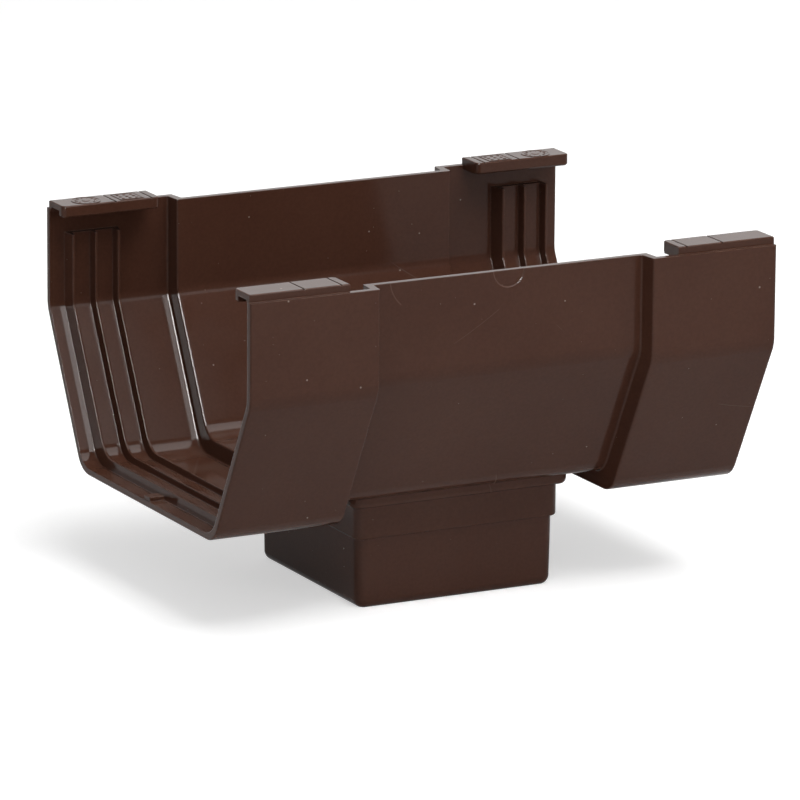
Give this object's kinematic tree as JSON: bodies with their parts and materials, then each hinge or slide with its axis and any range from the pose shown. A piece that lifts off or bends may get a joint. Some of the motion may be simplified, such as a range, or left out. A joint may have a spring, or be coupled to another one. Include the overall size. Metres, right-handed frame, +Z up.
{
  "type": "gutter centre drop outlet",
  "caption": "Trapezoidal gutter outlet in one moulding: clip-on sockets with sealing ribs at both ends and a square spigot for a downpipe under the middle.",
  "frame": {"origin": "centre of the spigot's lower rim, which is the surface the part stands on", "axes": "+X along the gutter, +Y across it towards one side wall, +Z up"},
  "size_m": [0.2006, 0.161, 0.1261],
  "materials": {
    "brown_pvc": "glossy dark brown PVC, lightly scratched and dusty"
  },
  "bodies": {
    "root": {"drop_outlet": "brown_pvc"}
  },
  "joints": []
}
